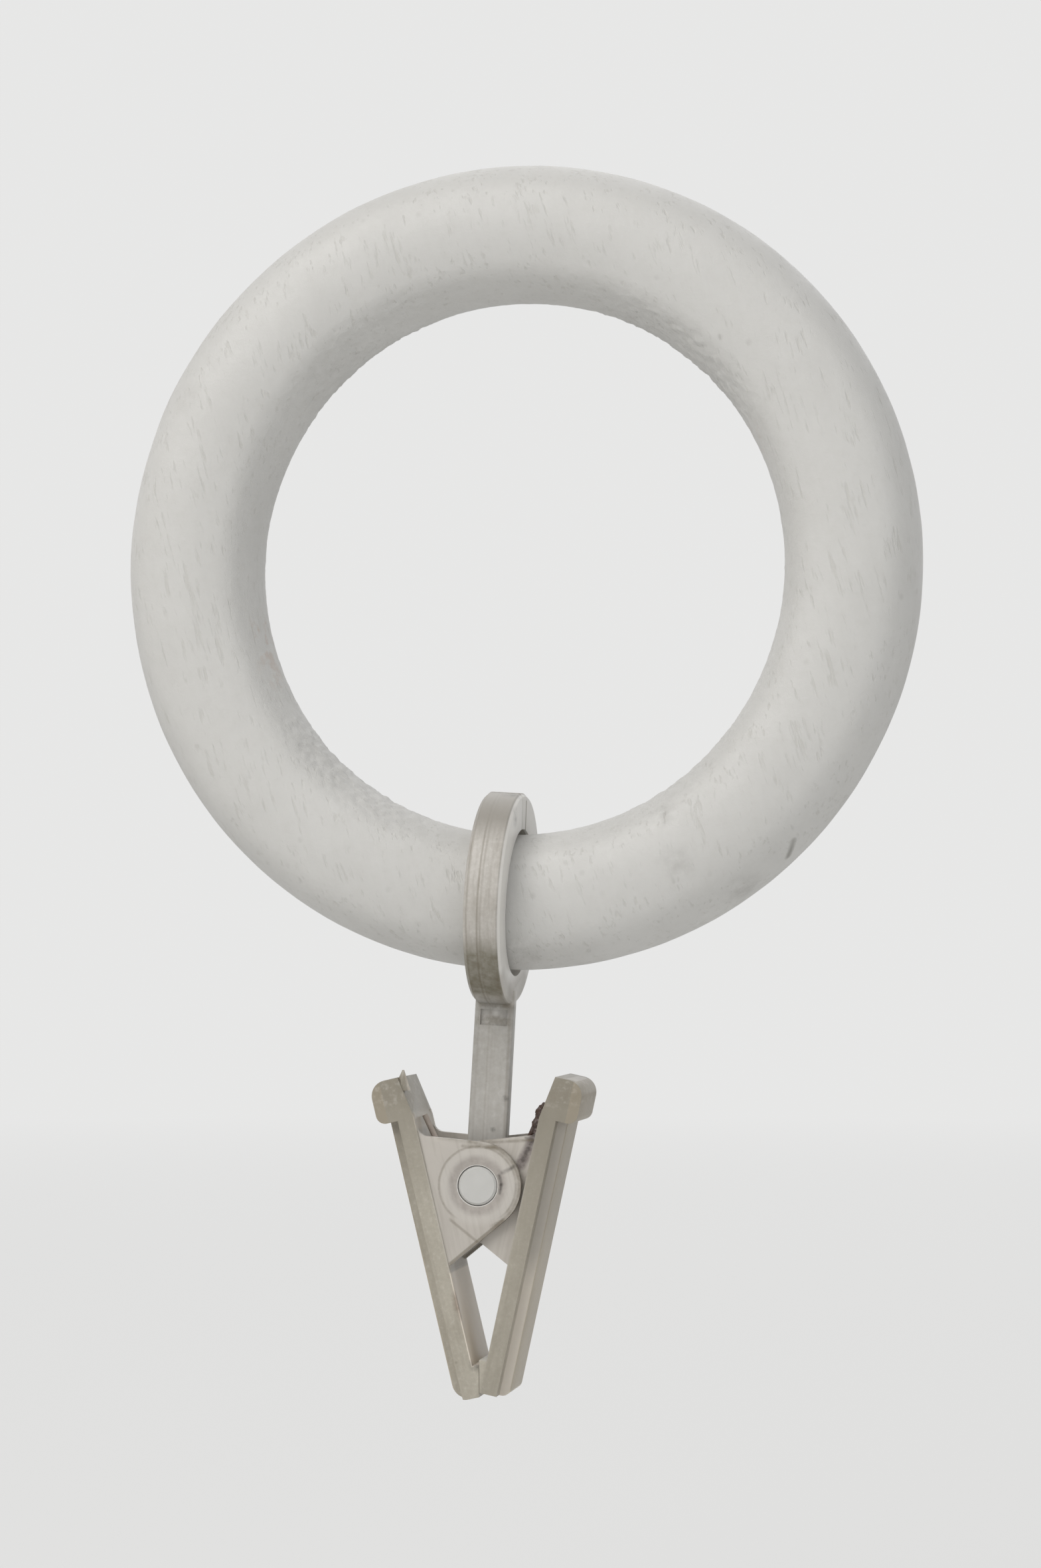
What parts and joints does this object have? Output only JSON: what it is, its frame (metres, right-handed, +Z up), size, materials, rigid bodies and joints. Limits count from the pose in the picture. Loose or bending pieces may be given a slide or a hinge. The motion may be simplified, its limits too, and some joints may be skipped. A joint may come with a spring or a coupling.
{
  "type": "curtain ring with clip",
  "caption": "Turned wooden curtain ring, painted white, with a moulded hanger looped round it and a sprung clip on a pivot pin for gripping the curtain's edge.",
  "frame": {"origin": "centre of the wooden ring's bore, midway between its two faces", "axes": "+Y along the ring's axis and the pole, away from the viewer; +Z up, the clip hangs towards -Z; +X to the right"},
  "size_m": [0.056, 0.0148, 0.0856],
  "materials": {
    "white_painted_wood": "satin white paint over wood grain",
    "clear_plastic": "translucent natural plastic, slightly yellowed",
    "white_plastic": "smooth white plastic",
    "spring_steel": "dark, slightly rusty spring wire"
  },
  "bodies": {
    "ring": {"wooden_ring": "white_painted_wood"},
    "hanger": {"hanger": "clear_plastic"},
    "right_jaw": {"right_jaw": "clear_plastic", "pivot_pin": "white_plastic", "torsion_spring": "spring_steel"},
    "left_jaw": {"left_jaw": "clear_plastic"}
  },
  "joints": [
    {"name": "hanger_round_ring", "type": "hinge", "parent": "ring", "child": "hanger", "pos_m": [0, 0, 0], "axis": [0, 1, 0], "continuous": true},
    {"name": "head_swivel", "type": "hinge", "parent": "hanger", "child": "right_jaw", "pos_m": [-0.00247, 0, -0.04283], "axis": [0, 1, 0], "range_deg": [-16, 6]},
    {"name": "jaws_open", "type": "hinge", "parent": "right_jaw", "child": "left_jaw", "pos_m": [-0.00247, 0, -0.04283], "axis": [0, 1, 0], "range_deg": [0, 20], "stiffness_Nm_per_rad": 0.0005, "springref_deg": -28.65, "deforming": ["torsion_spring"]}
  ]
}
